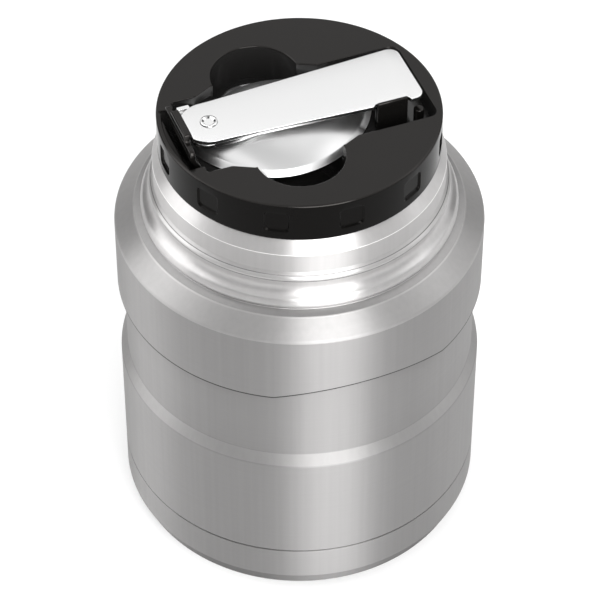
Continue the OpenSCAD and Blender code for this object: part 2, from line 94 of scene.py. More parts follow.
# Profiles: open lines in the half plane of radius and height


def unit(v):
    return v / np.linalg.norm(v)


def fillet(a, b, c, radius, steps):
    """Arc of a radius that rounds the corner b between the straight runs a-b and b-c."""
    u, v = unit(a - b), unit(c - b)
    half = math.acos(np.clip(u @ v, -1, 1)) / 2
    centre = b + unit(u + v) * radius / math.sin(half)
    start, end = (b + w * radius / math.tan(half) - centre for w in (u, v))
    first = math.atan2(start[1], start[0])
    sweep = math.remainder(math.atan2(end[1], end[0]) - first, TURN)
    angle = first + sweep * np.linspace(0, 1, steps + 1)
    return centre + radius * np.stack([np.cos(angle), np.sin(angle)], 1)


def rounded_line(corners, steps=6):
    """Line through the corners (x, y, radius), each with a radius replaced by its arc."""
    points = [np.array(corner[:2], float) for corner in corners]
    parts = []
    for i, corner in enumerate(corners):
        if corner[2] == 0:
            parts.append(points[i][None])
        else:
            parts.append(fillet(points[i - 1], points[i], points[i + 1], corner[2], steps))
    return np.concatenate(parts)


def mirrored(half):
    """Closed outline from its half with Y above 0, whose two ends lie on X."""
    return np.concatenate([half, half[-2:0:-1] * (1, -1)])


def side_normals(line):
    """Normal at each point of an open line, on its right, mitred at the corners."""
    run = np.diff(line, axis=0)
    run /= np.linalg.norm(run, axis=1)[:, None]
    normal = np.stack([run[:, 1], -run[:, 0]], 1)
    before = np.concatenate([normal[:1], normal])
    after = np.concatenate([normal, normal[-1:]])
    return (before + after) / (1 + (before * after).sum(1))[:, None]


def sheet_profile(line, thickness):
    """Closed loop of a sheet whose outside is the line."""
    inner = line - side_normals(line) * thickness
    return np.concatenate([line, inner[::-1]])


# Surfaces: grids of points turned into meshes


def grid_faces(rows, columns, wrap_rows, wrap_columns):
    """Quads between neighbouring points of a grid, joined round where it wraps."""
    i = np.arange(rows if wrap_rows else rows - 1)[:, None]
    j = np.arange(columns if wrap_columns else columns - 1)[None, :]
    i2, j2 = (i + 1) % rows, (j + 1) % columns
    return np.stack([i * columns + j, i * columns + j2, i2 * columns + j2, i2 * columns + j], -1).reshape(-1, 4)


def make_piece(name, points, faces, sharp_angle=32, more_faces=()):
    """Mesh object from points in millimetres and quads: doubles merged, faces outwards, smooth up to an angle."""
    mesh = bpy.data.meshes.new(name)
    mesh.from_pydata((points * MM).tolist(), [], faces.tolist() + [list(face) for face in more_faces])
    piece = bpy.data.objects.new(name, mesh)
    bpy.context.scene.collection.objects.link(piece)
    bm = bmesh.new()
    bm.from_mesh(mesh)
    bmesh.ops.remove_doubles(bm, verts=bm.verts, dist=merge_distance)
    bmesh.ops.dissolve_degenerate(bm, edges=bm.edges, dist=merge_distance / 10)
    if bm.calc_volume(signed=True) < 0:
        bmesh.ops.reverse_faces(bm, faces=bm.faces)
    bm.to_mesh(mesh)
    bm.free()
    mesh.shade_smooth()
    mesh.set_sharp_from_angle(angle=math.radians(sharp_angle))
    return piece


# Points round the turned pieces, the shoulder, the cap, its scoops, and the bowl; rows of the bowl's dome
ring_steps = 256
shoulder_steps = 512
cap_steps = 480
scoop_steps = 60
bowl_steps = 240
dome_rows = 30


def ring_angles(count):
    return np.arange(count) * TURN / count


def turned(line, angle):
    """A line (radius, height) turned about Z: x = r cos a, y = r sin a, z = height."""
    r, z = line[:, 0][:, None], line[:, 1][:, None]
    return np.stack([r * np.cos(angle), r * np.sin(angle), z + 0 * angle], -1)


def revolve(name, profile):
    """Ring whose section is a closed profile (radius, height)."""
    points = turned(profile, ring_angles(ring_steps))
    faces = grid_faces(len(profile), ring_steps, True, True)
    return make_piece(name, points.reshape(-1, 3), faces)


def turned_at(name, line, centre_x, centre_y, count=64):
    """A line (radius, height) that starts and ends on the axis, turned about an upright axis at a place."""
    points = turned(line, ring_angles(count)) + (centre_x, centre_y, 0)
    faces = grid_faces(len(line), count, False, True)
    return make_piece(name, points.reshape(-1, 3), faces, 40)


def outline_normals(line):
    """Outward normals of a closed line that goes anticlockwise."""
    run = np.roll(line, -1, axis=0) - np.roll(line, 1, axis=0)
    normal = np.stack([run[:, 1], -run[:, 0]], 1)
    return normal / np.linalg.norm(normal, axis=1)[:, None]


def make_plate(name, outline, low, high, edge, steps=4, along_x=False):
    """Flat plate between two heights: its closed outline, anticlockwise in X and Y, inset at both faces by a
    quarter circle of the edge's radius. Along X, the outline lies in Y and Z and the plate runs from low to high
    along X."""
    turn = np.linspace(0, math.pi / 2, steps + 1)
    insets = np.concatenate([edge * (1 - np.sin(turn)), edge * (1 - np.cos(turn))])
    places = np.concatenate([low + edge * (1 - np.cos(turn)), high - edge * (1 - np.sin(turn))])
    flat = outline - outline_normals(outline) * insets[:, None, None]
    rows = np.concatenate([flat, np.zeros(flat.shape[:2] + (1,)) + places[:, None, None]], 2)
    if along_x:
        rows = np.roll(rows, 1, axis=2)
    count = len(outline)
    faces = grid_faces(len(rows), count, False, True)
    lid = np.arange(count) + (len(rows) - 1) * count
    return make_piece(name, rows.reshape(-1, 3), faces, 40, [np.arange(count)[::-1], lid])


# Materials


def new_material(name, **inputs):
    """Principled material with constant values on its own sockets."""
    material = bpy.data.materials.new(name)
    material.use_nodes = True
    shader = material.node_tree.nodes["Principled BSDF"]
    for socket, value in inputs.items():
        shader.inputs[socket.replace("_", " ")].default_value = value
    return material, material.node_tree, shader


def grey(value, tint=(1, 1, 1)):
    return (value * tint[0], value * tint[1], value * tint[2], 1)


steel_tint = (1.012, 0.995, 0.99)


def noise(tree, scale, detail, stretch=None):
    """Noise on the piece's own coordinates, which are scaled along each axis first where a stretch is given."""
    place = tree.nodes.new("ShaderNodeTexCoord").outputs["Object"]
    if stretch:
        mapping = tree.nodes.new("ShaderNodeMapping")
        mapping.inputs["Scale"].default_value = stretch
        tree.links.new(place, mapping.inputs["Vector"])
        place = mapping.outputs["Vector"]
    cloud = tree.nodes.new("ShaderNodeTexNoise")
    cloud.inputs["Scale"].default_value = scale
    cloud.inputs["Detail"].default_value = detail
    tree.links.new(place, cloud.inputs["Vector"])
    return cloud.outputs["Fac"]


def map_range(tree, value, low, high):
    """Node that takes a value, from 0 to 1 unless its own range is set, to the range from low to high."""
    spread = tree.nodes.new("ShaderNodeMapRange")
    spread.inputs["To Min"].default_value = low
    spread.inputs["To Max"].default_value = high
    tree.links.new(value, spread.inputs["Value"])
    return spread


def blend_colour(tree, shader, share, low, high):
    """Base colour between two colours, by a share from 0 to 1."""
    tone = tree.nodes.new("ShaderNodeMix")
    tone.data_type = "RGBA"
    tone.inputs["A"].default_value = low
    tone.inputs["B"].default_value = high
    tree.links.new(share, tone.inputs["Factor"])
    tree.links.new(tone.outputs["Result"], shader.inputs["Base Color"])


brush_stretch = (14, 14, 2600)
streak_stretch = (700, 700, 9)
streak_contrast = 0.06
scratch_strength = 0.05
scratch_depth = 0.00002


def brushed_steel(name, value, roughness, anisotropy, grain):
    """Steel brushed round the jar: fine level lines in roughness and bump, upright streaks in its tone, and
    a tangent round the Z axis."""
    material, tree, shader = new_material(name, Metallic=1.0, Anisotropic=anisotropy, Anisotropic_Rotation=0.25)
    lines = noise(tree, 1.0, 3.0, brush_stretch)
    rough = map_range(tree, lines, roughness - grain, roughness + grain)
    tree.links.new(rough.outputs["Result"], shader.inputs["Roughness"])
    streaks = noise(tree, 1.0, 2.0, streak_stretch)
    darker = grey(value * (1 - streak_contrast), steel_tint)
    lighter = grey(value * (1 + streak_contrast), steel_tint)
    blend_colour(tree, shader, streaks, darker, lighter)
    bump = tree.nodes.new("ShaderNodeBump")
    bump.inputs["Strength"].default_value = scratch_strength
    bump.inputs["Distance"].default_value = scratch_depth
    tree.links.new(lines, bump.inputs["Height"])
    tree.links.new(bump.outputs["Normal"], shader.inputs["Normal"])
    tangent = tree.nodes.new("ShaderNodeTangent")
    tangent.direction_type = "RADIAL"
    tangent.axis = "Z"
    tree.links.new(tangent.outputs["Tangent"], shader.inputs["Tangent"])
    return material


def mottled(name, low, high, scale, roughness, rough_spread=0.04, metallic=0.0, tint=(1, 1, 1), **inputs):
    """Moulded or rolled surface whose colour and roughness drift softly over it."""
    material, tree, shader = new_material(name, Metallic=metallic, **inputs)
    cloud = noise(tree, scale, 4.0)
    blend_colour(tree, shader, cloud, grey(low, tint), grey(high, tint))
    rough = map_range(tree, cloud, roughness - rough_spread, roughness + rough_spread)
    tree.links.new(rough.outputs["Result"], shader.inputs["Roughness"])
    return material


# Brushed finishes, some of them lighter or darker copies as painted highlight or painted shade: tone, roughness, how
# far the highlight is stretched, and how much the grain varies it
satin_steel = brushed_steel("satin_steel", 0.31, 0.5, 0.9, 0.04)
# Painted shade: darker, rougher copy of the satin steel for the bevel above the foot
painted_shade_foot_steel = brushed_steel("painted_shade_foot_steel", 0.2, 0.6, 0.9, 0.04)
# Painted highlight: lighter copy of the satin steel for the shelf under the waist
painted_highlight_shelf_steel = brushed_steel("painted_highlight_shelf_steel", 0.39, 0.55, 0.9, 0.03)
# Painted highlight: lighter copy of the steel for the upward chamfer
painted_highlight_chamfer_steel = brushed_steel("painted_highlight_chamfer_steel", 0.42, 0.5, 0.9, 0.03)
lip_steel = brushed_steel("lip_steel", 0.55, 0.4, 0.85, 0.03)
neck_steel = brushed_steel("neck_steel", 0.5, 0.36, 0.9, 0.03)
# Plain band's finish, also used as a painted highlight line along the chamfer's top edge
band_and_edge_highlight_steel = brushed_steel("band_and_edge_highlight_steel", 0.48, 0.46, 0.9, 0.03)
# Painted highlight: near-white line at the top edge of the plain band, under the lip
painted_highlight_line_steel = brushed_steel("painted_highlight_line_steel", 0.9, 0.4, 0.5, 0.02)
# Painted shade: darker copy for the ledge in the groove between the chamfer and the bead
painted_shade_ledge_steel = brushed_steel("painted_shade_ledge_steel", 0.33, 0.4, 0.3, 0.03)
# Painted shadow: dark lines at the step of the neck
painted_step_shadow_steel = brushed_steel("painted_step_shadow_steel", 0.2, 0.4, 0.0, 0.02)
# Painted shadow: near-black steel for the lines where the base cup meets the wall and under the ring's lower edge
painted_shadow_steel = brushed_steel("painted_shadow_steel", 0.06, 0.5, 0.0, 0.02)

# Other finishes, some of them darker or lighter copies as painted shade or painted light: darkest and lightest tone,
# size of their drift, roughness and how much it varies
liner_steel = mottled("liner_steel", 0.62, 0.7, 30, 0.18, metallic=1.0)
mill_steel = mottled("mill_steel", 0.45, 0.55, 40, 0.4, metallic=1.0)
polished_steel = mottled("polished_steel", 0.86, 0.9, 25, 0.1, 0.02, metallic=1.0)
handle_steel = mottled("handle_steel", 0.86, 0.9, 25, 0.2, 0.02, metallic=1.0)
# Painted shade: darker copy of the spoon steel for the tang under the handle
painted_shade_tang_steel = mottled("painted_shade_tang_steel", 0.45, 0.55, 25, 0.22, 0.03, metallic=1.0)
# Painted shade: dark copy of the spoon steel for the low web under the ear
painted_shade_web_steel = mottled("painted_shade_web_steel", 0.25, 0.35, 25, 0.3, 0.03, metallic=1.0)
rivet_steel = mottled("rivet_steel", 0.7, 0.78, 60, 0.1, 0.03, metallic=1.0)
bowl_steel = mottled("bowl_steel", 0.58, 0.66, 40, 0.32, 0.03, metallic=1.0)
copper_foil = mottled("copper_foil", 0.7, 0.85, 60, 0.25, metallic=1.0, tint=(1, 0.55, 0.38))
solder = mottled("solder", 0.4, 0.5, 90, 0.45, metallic=1.0)
getter_grey = mottled("getter_grey", 0.12, 0.2, 400, 0.8, metallic=0.4)
warm_white = (1, 0.95, 0.92, 1)
warm_black = (1, 0.94, 0.88)
black_plastic = mottled(
    "black_plastic", 0.004, 0.006, 60, 0.16, 0.02, tint=warm_black, IOR=1.36, Specular_Tint=warm_white
)
# Painted shade: darker, less reflective copy of the black plastic for the cap's side
painted_shade_side_plastic = mottled(
    "painted_shade_side_plastic", 0.002, 0.003, 60, 0.14, 0.02, tint=warm_black, IOR=1.15, Specular_Tint=warm_white
)
# Painted light: lighter, more reflective copy of the black plastic for the recess and its wells
painted_light_recess_plastic = mottled("painted_light_recess_plastic", 0.016, 0.022, 60, 0.14, 0.03, tint=(1, 0.97, 0.95), IOR=1.58)
plug_plastic = mottled("plug_plastic", 0.02, 0.028, 80, 0.4)
white_foam = mottled("white_foam", 0.7, 0.8, 900, 0.95)
seal_silicone = mottled("seal_silicone", 0.42, 0.48, 50, 0.45)


def dress(piece, material, slot, body, *nodes):
    """Gives a finished piece its material, its body and the CAD nodes that it stands for."""
    piece.data.materials.clear()
    piece.data.materials.append(material)
    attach(piece, body)
    if nodes:
        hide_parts(*nodes)
    return piece


def dress_node(node, material):
    """A CAD node that stays, with a finished material."""
    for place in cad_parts[node].material_slots:
        place.material = material


# Steel shells: heights and radii in millimetres, from the foot up. Hidden edges are tucked inside the body's
# radius, and edges that show stand inside it by the edge gap
steel_t = 0.6
outer_t = 0.5
tuck = 0.62
edge_gap = 0.12
seam_z = node_box("base_cup")[1][2]
body_r = node_box("shoulder_shell")[1][0]
skirt_z = node_box("shoulder_shell")[0][2]
lip_z = node_box("shoulder_shell")[1][2]
bevel_h = 4.9
foot_r = body_r - 2.1
foot_w = 9
underside_h = 1.2
shelf_z = seam_z + 32.6
waist_z = shelf_z + 3.4
waist_r = body_r - 1.7
ring_top_z = skirt_z + 20.1
ledge_z = ring_top_z + 3.8
chamfer_top_r = 42.1
ledge_r = 39.4
bead_r = 40.4
bead_foot_r = 37.35
step_z = ledge_z + 8.3
step_r = 38
band_z = ledge_z + 10.3
band_top_z = ledge_z + 15.7
band_r = 36.8
arch_w = 45.6
arch_h = 3.4
# Height of the painted shadow band along the ring's lower edge
painted_shadow_h = 0.5


def make_base_cup():
    """Recessed underside, foot, bevel and wall, whose top edge turns in at the seam."""
    line = rounded_line([
        (0, underside_h, 0),
        (foot_r - foot_w, underside_h, 0.6),
        (foot_r - foot_w + underside_h, 0, 0.8),
        (foot_r, 0, 0.8),
        (body_r, bevel_h, 0.8),
        (body_r, seam_z - edge_gap, 0.1),
        (body_r - steel_t, seam_z, 0),
    ])
    return revolve("base_cup_steel", sheet_profile(line, outer_t))


def make_body_shell():
    """Wall tucked into the base cup, the shelf, the waist, and the top tucked under the shoulder ring."""
    line = rounded_line([
        (body_r - tuck, seam_z - 5, 0),
        (body_r - tuck, seam_z + 0.1, 0),
        (body_r - edge_gap, seam_z + 0.15, 0.05),
        (body_r, seam_z + 0.26, 0.1),
        (body_r, seam_z + 0.4, 0),
        (body_r, shelf_z, 1.6),
        (waist_r, waist_z, 0.7),
        (waist_r, skirt_z + arch_h + 0.6, 1.2),
        (body_r - tuck, skirt_z + arch_h + 1.8, 1.2),
        (body_r - tuck, skirt_z + arch_h + 6.8, 0),
    ])
    return revolve("body_steel", sheet_profile(line, outer_t))


def arch_rise(x, y):
    """How far the arch, a flat circle's arc, lifts the ring's lower edge at a place: sqrt(R^2 - x^2) - (R - h)."""
    arch_r = (arch_w ** 2 / 4 + arch_h ** 2) / (2 * arch_h)
    across = np.minimum(np.abs(x), arch_w / 2)
    return np.where(y < 0, np.maximum(np.sqrt(arch_r ** 2 - across ** 2) - (arch_r - arch_h), 0), 0)


def make_shoulder_shell():
    """Ring, chamfer, ledge, bead, step, plain band and lip. The ring's wall is stretched down to its lower edge,
    which a shallow arch lifts at the front."""
    line = rounded_line([
        (body_r - edge_gap, skirt_z, 0),
        (body_r, skirt_z + 0.15, 0.1),
        (body_r, skirt_z + painted_shadow_h, 0),
        (body_r, ring_top_z, 1.2),
        (chamfer_top_r, ledge_z, 1.1),
        (ledge_r, ledge_z + 0.7, 0.3),
        (bead_r, ledge_z + 1.65, 0.96),
        (bead_r - 0.75, ledge_z + 3.55, 1.5),
        (bead_foot_r, ledge_z + 5.0, 3.0),
        (step_r - edge_gap, step_z - 0.35, 0),
        (step_r - edge_gap, step_z - 0.05, 0),
        (step_r, step_z, 0),
        (step_r, step_z + 0.5, 0.15),
        (37.52, step_z + 1.15, 0),
        (37.32, step_z + 1.3, 0),
        (band_r, band_z, 0.2),
        (band_r, band_top_z, 0.3),
        (35.5, band_top_z + 1.9, 1.2),
        (34.45, lip_z, 0.9),
        (33.42, lip_z, 0),
    ])
    profile = sheet_profile(line, steel_t)
    points = turned(profile, ring_angles(shoulder_steps))
    rise = arch_rise(points[..., 0], points[..., 1])
    stretch_top = ring_top_z - 2
    share = np.clip((stretch_top - points[..., 2]) / (stretch_top - skirt_z), 0, 1)
    points[..., 2] += rise * share
    faces = grid_faces(len(profile), shoulder_steps, True, True)
    return make_piece("shoulder_steel", points.reshape(-1, 3), faces)


def face_places(piece):
    """Centres of a piece's faces, in millimetres, as x, y and z."""
    centres = np.empty(3 * len(piece.data.polygons))
    piece.data.polygons.foreach_get("center", centres)
    return centres.reshape(-1, 3).T / MM


def between(value, low, high):
    return (value > low) & (value < high)


def shade_faces(piece, *tones):
    """Gives faces a material of their own. Each tone is a material and the faces that take it, and a later tone
    goes over an earlier one."""
    materials = [piece.data.materials[0]]
    index = np.zeros(len(piece.data.polygons), np.int32)
    for material, faces in tones:
        if material not in materials:
            materials.append(material)
            piece.data.materials.append(material)
        index[faces] = materials.index(material)
    piece.data.polygons.foreach_set("material_index", index)


def shade_foot(piece):
    """Bevel above the foot, darker and rougher: painted shade."""
    x, y, z = face_places(piece)
    shade_faces(piece, (painted_shade_foot_steel, z < bevel_h - 0.1))


def shade_seam(piece):
    """Painted shadow line where the base cup meets the wall, and a painted highlight on the shelf under the waist."""
    x, y, z = face_places(piece)
    shade_faces(piece, (painted_shadow_steel, z < seam_z + 0.39), (painted_highlight_shelf_steel, between(z, shelf_z + 0.3, waist_z - 0.3)))


def shade_shoulder(piece):
    """Satin ring, chamfer lightened as painted highlight with a painted highlight line along its top edge, ledge
    behind it darkened as painted shade, bright bead and step, softer plain band, bright lip over a painted highlight
    line, and painted shadow lines at the ring's edge and at the step."""
    x, y, z = face_places(piece)
    r = np.hypot(x, y)
    shade_faces(
        piece,
        (neck_steel, z > ledge_z - 0.2),
        (painted_shade_ledge_steel, between(z, ledge_z - 0.1, ledge_z + 0.95) & between(r, ledge_r - 0.1, chamfer_top_r - 0.2)),
        (painted_highlight_chamfer_steel, between(z, ring_top_z - 0.5, ledge_z - 0.25)),
        (band_and_edge_highlight_steel, z > step_z + 1.25),
        (lip_steel, z > band_top_z - 0.1),
        # Painted highlight line along the chamfer's top edge
        (band_and_edge_highlight_steel, between(z, ledge_z - 0.6, ledge_z + 0.2) & between(r, chamfer_top_r - 0.5, chamfer_top_r + 0.75)),
        # Painted highlight line under the lip
        (painted_highlight_line_steel, between(z, band_top_z - 0.22, band_top_z + 0.25) & (r > band_r - 0.5)),
        # Painted shadow under the ring's lower edge, following the arch
        (painted_shadow_steel, z < skirt_z + arch_rise(x, y) + painted_shadow_h),
        # Painted shadow lines above and below the step
        (painted_step_shadow_steel, between(z, step_z - 0.34, step_z - 0.02) & (r > step_r - 0.6)),
        (painted_step_shadow_steel, between(z, step_z + 1.16, step_z + 1.29) & (r > step_r - 1)),
    )


# Heights of the stopper's cap: its foot and its plate
cap_z = 115.8
plate_z = 126.8

# Food vessel: wall and bottom
mouth_r = 32.8
cavity_r = node_box("liner_bottom")[1][0] - 0.58
floor_z = node_box("liner_bottom")[0][2] + steel_t
mouth_end_z = lip_z - 19.5


def make_liner():
    """Food vessel's wall, drawn in to the mouth and up to the lip."""
    line = rounded_line([
        (cavity_r + steel_t, floor_z - steel_t, 0),
        (cavity_r + steel_t, mouth_end_z - 9, 5),
        (mouth_r + steel_t, mouth_end_z, 5),
        (mouth_r + steel_t, lip_z, 0),
    ], 12)
    return revolve("inner_liner_steel", sheet_profile(line, steel_t))


def make_liner_bottom():
    """Flat bottom with a short upright rim inside the vessel's wall."""
    wall_r = cavity_r - 0.02
    line = rounded_line([
        (0, floor_z - steel_t, 0),
        (wall_r, floor_z - steel_t, 2.2),
        (wall_r, floor_z - steel_t + 3, 0),
    ], 10)
    return revolve("liner_bottom_steel", sheet_profile(line, steel_t))


# Screw threads: one right-hand start on the plug and one between its turns in the mouth, which stands inwards
thread_lead = 8.0
thread_turns = 1.1
thread_half_w = 1.1
thread_taper = 0.12
mouth_thread_z = 102.6
plug_thread_z = 102.8
mouth_thread_rise = -0.9
plug_thread_rise = 1.2


def make_thread(name, wall_r, out, low_z, first_angle):
    """Ridge on a helix: r = wall + out e h, z = low + lead t + w e, where t counts turns, e tapers both ends
    and (w, h) goes round the ridge's section."""
    count = int(96 * thread_turns)
    t = np.linspace(0, thread_turns, count + 1)[:, None]
    taper = np.sqrt(np.clip(np.minimum(t, thread_turns - t) / thread_taper, 0, 1))
    width = np.array([-1, -0.95, -0.6, -0.45, 0.45, 0.6, 0.95, 1, 0.9, -0.9]) * thread_half_w
    rise = np.array([-0.12, 0.1, 0.9, 1, 1, 0.9, 0.1, -0.12, -0.2, -0.2])
    radius = wall_r + out * np.where(rise > 0, rise * taper, rise)
    angle = first_angle + t * TURN
    points = np.stack([
        radius * np.cos(angle),
        radius * np.sin(angle),
        low_z + thread_lead * t + width * (0.15 + 0.85 * taper),
    ], -1)
    faces = grid_faces(count + 1, len(width), False, True)
    ends = [np.arange(len(width))[::-1], np.arange(len(width)) + count * len(width)]
    return make_piece(name, points.reshape(-1, 3), faces, 40, ends)


# Plug under the cap: its cup, its seal and its foam core
plug_r = 31.2
plug_wall = 1.7
plug_z = 95.8
seal_z = plug_z + 2
groove_h = 2.2
groove_depth = 0.9
seal_gap = 0.05
soft_gap = 0.3


def make_plug():
    """A cup with the seal's groove: the outside from the foot's centre up past the groove, then back inside."""
    outside = rounded_line([
        (0, plug_z, 0),
        (plug_r, plug_z, 2.0),
        (plug_r, seal_z, 0.15),
        (plug_r - groove_depth, seal_z, 0.1),
        (plug_r - groove_depth, seal_z + groove_h, 0.1),
        (plug_r, seal_z + groove_h, 0.15),
        (plug_r, cap_z, 0),
    ])
    inside = rounded_line([
        (plug_r - plug_wall, cap_z, 0),
        (plug_r - plug_wall, plug_z + plug_wall, 0.8),
        (0, plug_z + plug_wall, 0),
    ])
    return revolve("stopper_plug_black", np.concatenate([outside, inside]))


def make_seal():
    """Ring in the plug's groove, with a lip that rises outwards to the mouth's wall."""
    inner_r, lip_r = plug_r - groove_depth + seal_gap, mouth_r - soft_gap
    return revolve("stopper_seal_grey", rounded_line([
        (inner_r, seal_z + groove_h / 2, 0),
        (inner_r, seal_z + seal_gap, 0.1),
        (plug_r, seal_z + seal_gap, 0.2),
        (lip_r, seal_z + 1.3, 0.3),
        (lip_r, seal_z + groove_h, 0.2),
        (plug_r, seal_z + 1.4, 0.2),
        (plug_r, seal_z + groove_h - seal_gap, 0.15),
        (inner_r, seal_z + groove_h - seal_gap, 0),
    ]))


def make_foam():
    """Block between the plug's floor and the wells of the cap's scoops."""
    foam_r = plug_r - plug_wall - soft_gap
    low, high = plug_z + plug_wall + soft_gap, scoop_z - 1.8
    return revolve("plug_foam_white", rounded_line([
        (0, low, 0), (foam_r, low, 1.6), (foam_r, high, 0.3), (0, high, 0),
    ]))


# Stopper cap: places of its recess in millimetres, seen from above
cap_r = node_box("stopper_cap")[1][0]
rim_inner_r = cap_r - 1.35
cap_edge = 0.5
recess_z = plate_z - 5.1
recess_right = 31.3
recess_left = 28.8
recess_half = 14
recess_wide_half = 16
recess_left_half = 13.5
recess_corner = 2.2
recess_lip = 0.3
scoop_centre = (-5.8, 15.8)
scoop_distance = math.hypot(*scoop_centre)
scoop_angle = math.atan2(scoop_centre[1], scoop_centre[0])
scoop_r = 11.1
scoop_half_angle = math.asin(scoop_r / scoop_distance)
scoop_cove = 2.5
scoop_z = plate_z - 12.6
latch_wall_x = 32.3
latch_side_y = 11.3
latch_floor_z = cap_z + 1.5
segment_depth = 1.5
pocket_w = 6.5
pocket_depth = 0.6
pocket_z = cap_z + 2.4
pocket_h = 6.2
pocket_corner = 1.3
pocket_edge = 0.45
pocket_count = 12
pocket_steps = np.array([-0.1, 0.05, 0.2, 0.35, 0.55, 0.85, 1.2, 1.6, 2.3])
foot_edge = 0.4
underside_r = 29.3
underside_z = 112.8
tiny = 1e-6
least_angle = 2e-4


def recess_line():
    """Outline of the spoon recess without its scoops, from the free end round by +Y, both halves alike."""
    half = rounded_line([
        (recess_right, 0, 0),
        (recess_right, recess_half, recess_corner),
        (10, recess_half, 0),
        (5.85, recess_wide_half, 0),
        (-17.5, recess_wide_half, 0),
        (-22.5, recess_left_half, recess_corner),
        (-recess_left, recess_left_half, 0.6),
        (-recess_left, 0, 0),
    ])
    return mirrored(half)


def reach_along(line, angle):
    """Distance from the axis to a closed line along each angle, where the line goes once round the axis."""
    around_line = np.unwrap(np.arctan2(line[:, 1], line[:, 0]))
    order = np.argsort(around_line)
    start = line[order]
    start_angle = around_line[order]
    end = np.concatenate([start[1:], start[:1]])
    wrapped = start_angle[0] + np.mod(angle - start_angle[0], TURN)
    i = np.clip(np.searchsorted(start_angle, wrapped, side="right") - 1, 0, len(start) - 1)
    a, run = start[i], end[i] - start[i]
    way = np.stack([np.cos(angle), np.sin(angle)], 1)
    return (a[:, 0] * run[:, 1] - a[:, 1] * run[:, 0]) / (way[:, 0] * run[:, 1] - way[:, 1] * run[:, 0])


def cap_columns():
    """Angles round the cap: even ones, with more at the corners of the recess and of the latch's pocket, at the
    scoops' ends and at the grip pockets."""
    line = recess_line()
    corners = np.arctan2(line[:, 1], line[:, 0])
    swing = scoop_half_angle * np.sin(np.linspace(-math.pi / 2, math.pi / 2, scoop_steps + 1))
    side = pocket_w / 2 - pocket_steps
    pocket = np.concatenate([-side, [0], side[::-1]]) / cap_r
    centres = -TURN / 4 + ring_angles(pocket_count)
    sides = [math.atan2(latch_side_y, -latch_wall_x), math.atan2(latch_side_y, -recess_left)]
    sides.append(math.acos(-latch_wall_x / rim_inner_r))
    parts = [
        ring_angles(cap_steps),
        corners,
        scoop_angle + swing,
        -scoop_angle - swing,
        (centres[:, None] + pocket).ravel(),
        np.array(sides),
        -np.array(sides),
    ]
    angle = np.sort(np.mod(np.concatenate(parts), TURN))
    return angle[np.concatenate([[True], np.diff(angle) > least_angle])]


def pocket_radius(angle, height):
    """Radius of the cap's side at a height over the pockets' foot.

    Each grip pocket is a rounded rectangle with a flat floor, and its depth grows smoothly from the edge:
    s squared times (3 - 2 s), where s is the distance inside the outline over the edge's width.
    """
    step = TURN / pocket_count
    off = np.mod(angle + TURN / 4 + step / 2, step) - step / 2
    across = np.abs(off) * cap_r - (pocket_w / 2 - pocket_corner)
    up = abs(height - pocket_h / 2) - (pocket_h / 2 - pocket_corner)
    outside = np.hypot(np.maximum(across, 0), max(up, 0)) + np.minimum(np.maximum(across, up), 0)
    share = np.clip((pocket_corner - outside) / pocket_edge, 0, 1)
    floor_r = (cap_r - pocket_depth) / np.cos(off)
    return cap_r - (cap_r - floor_r) * share ** 2 * (3 - 2 * share)


